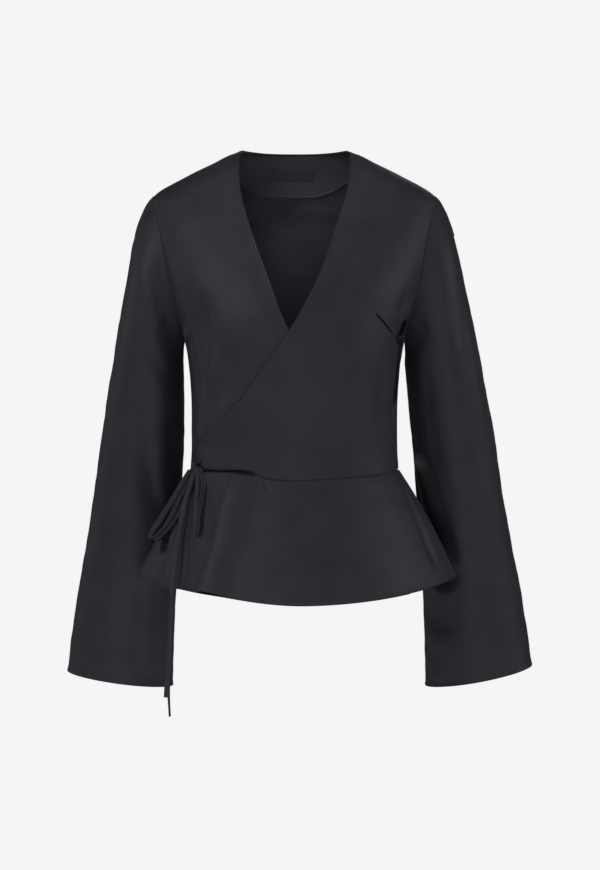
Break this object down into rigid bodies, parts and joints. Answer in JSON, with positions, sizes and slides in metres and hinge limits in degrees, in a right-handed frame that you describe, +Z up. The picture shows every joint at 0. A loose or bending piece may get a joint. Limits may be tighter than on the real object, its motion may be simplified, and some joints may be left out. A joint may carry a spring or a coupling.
{
  "type": "wrap top",
  "caption": "Black wrap top with a V neck, long bell sleeves, a flared peplum and narrow ties in a bow at the side waist, filled out as if worn.",
  "frame": {"origin": "midway between the two neck points, where the shoulder seams meet the neckline and the wearer's shoulders carry the top", "axes": "+Z up the wearer's body, -Y the front, +X the wearer's left"},
  "size_m": [0.6331, 0.2958, 0.7395],
  "materials": {
    "cloth": "matte-satin black crepe",
    "tie_cloth": "matte-satin black crepe, turned and pressed flat",
    "label": "bare black woven tape"
  },
  "bodies": {
    "root": {"back_bodice": "cloth", "front_left": "cloth", "front_right": "cloth", "sleeve_left": "cloth", "sleeve_right": "cloth", "peplum_back": "cloth", "peplum_front_left": "cloth", "peplum_front_right": "cloth", "neck_facing": "cloth", "neck_label": "label", "tie_knot": "tie_cloth", "tie_loop_side": "tie_cloth", "tie_loop_down": "tie_cloth", "tie_tail_front": "tie_cloth", "tie_tail_back": "tie_cloth"}
  },
  "joints": []
}
